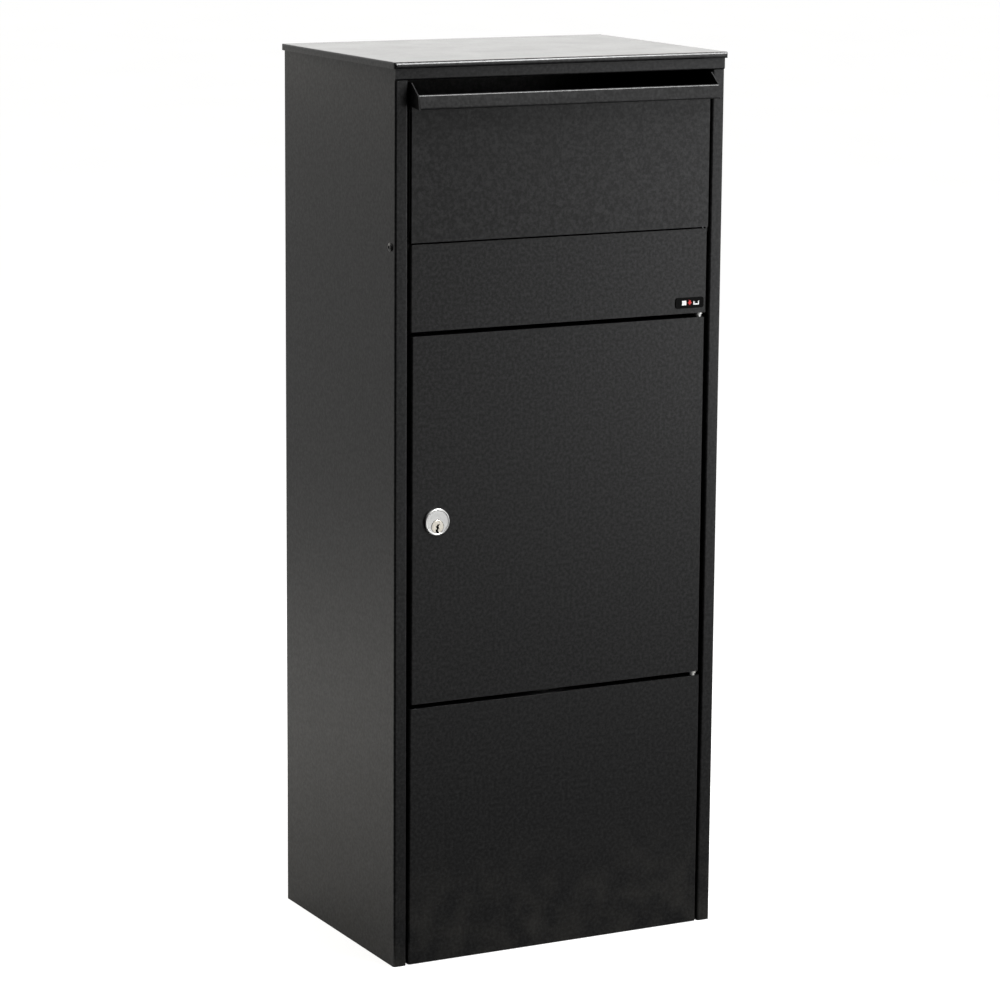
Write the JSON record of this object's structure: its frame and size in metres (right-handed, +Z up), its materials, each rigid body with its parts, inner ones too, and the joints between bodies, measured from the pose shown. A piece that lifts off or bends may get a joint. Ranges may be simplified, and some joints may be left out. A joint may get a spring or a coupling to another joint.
{
  "type": "parcel locker",
  "caption": "Floor-standing sheet-steel parcel locker with a tilting drop hatch and grip trough above a lockable, hinged collection door.",
  "frame": {"origin": "centre of the footprint of the two side panels, on the floor", "axes": "+X to the right as seen from the front, +Y to the back (the door faces -Y), +Z up"},
  "size_m": [0.41, 0.3128, 1],
  "materials": {
    "powder_coat": "satin anthracite powder coat, fine texture",
    "badge": "blank, gloss black",
    "rubber": "matt black",
    "zinc": "bright zinc plate",
    "nylon": "black bearing nylon",
    "satin_nickel": "satin nickel plate",
    "black_zinc": "black-passivated screws and coated rivets, satin"
  },
  "bodies": {
    "cabinet": {"left_side_panel": "powder_coat", "right_side_panel": "powder_coat", "back_panel": "powder_coat", "base_pan": "powder_coat", "compartment_floor": "powder_coat", "lid": "powder_coat", "top_front_rail": "powder_coat", "mid_front_panel": "powder_coat", "lower_front_panel": "powder_coat", "badge_plate": "badge", "guard_baffle": "powder_coat", "hatch_stop_pads": "rubber", "hatch_rest_brackets": "powder_coat", "hatch_rest_bumpers": "rubber", "hatch_pivot_screws": "black_zinc", "hatch_pivot_spacers": "black_zinc", "hatch_retaining_rings": "black_zinc", "upper_hinge_pin": "zinc", "lower_hinge_pin": "zinc", "hinge_pin_nuts": "zinc", "strike_plate": "zinc", "door_stop_brackets": "powder_coat", "door_stop_bumpers": "rubber", "lid_studs": "zinc", "lid_nuts": "zinc", "panel_screws": "black_zinc", "panel_spacers": "black_zinc", "panel_nuts": "black_zinc", "back_rivets": "black_zinc"},
    "door": {"door_panel": "powder_coat", "door_stiffener": "powder_coat", "door_hinge_bushes": "nylon", "lock_body": "satin_nickel", "lock_nut": "zinc"},
    "lock_barrel": {"lock_plug": "satin_nickel", "lock_cam": "zinc", "cam_screw": "zinc"},
    "hatch": {"hatch_flap": "powder_coat", "hatch_cheek_left": "powder_coat", "hatch_cheek_right": "powder_coat", "chute_plate": "powder_coat", "hatch_bushes": "nylon", "hatch_rivets": "black_zinc"}
  },
  "joints": [
    {"name": "hatch_tilt", "type": "hinge", "parent": "cabinet", "child": "hatch", "pos_m": [0, -0.133, 0.802], "axis": [1, 0, 0], "range_deg": [0, 38]},
    {"name": "door_swing", "type": "hinge", "parent": "cabinet", "child": "door", "pos_m": [0.177, -0.1382, 0.5], "axis": [0, 0, 1], "range_deg": [0, 105]},
    {"name": "lock_turn", "type": "hinge", "parent": "door", "child": "lock_barrel", "pos_m": [-0.152, -0.13, 0.495], "axis": [0, -1, 0], "range_deg": [0, 90]}
  ]
}
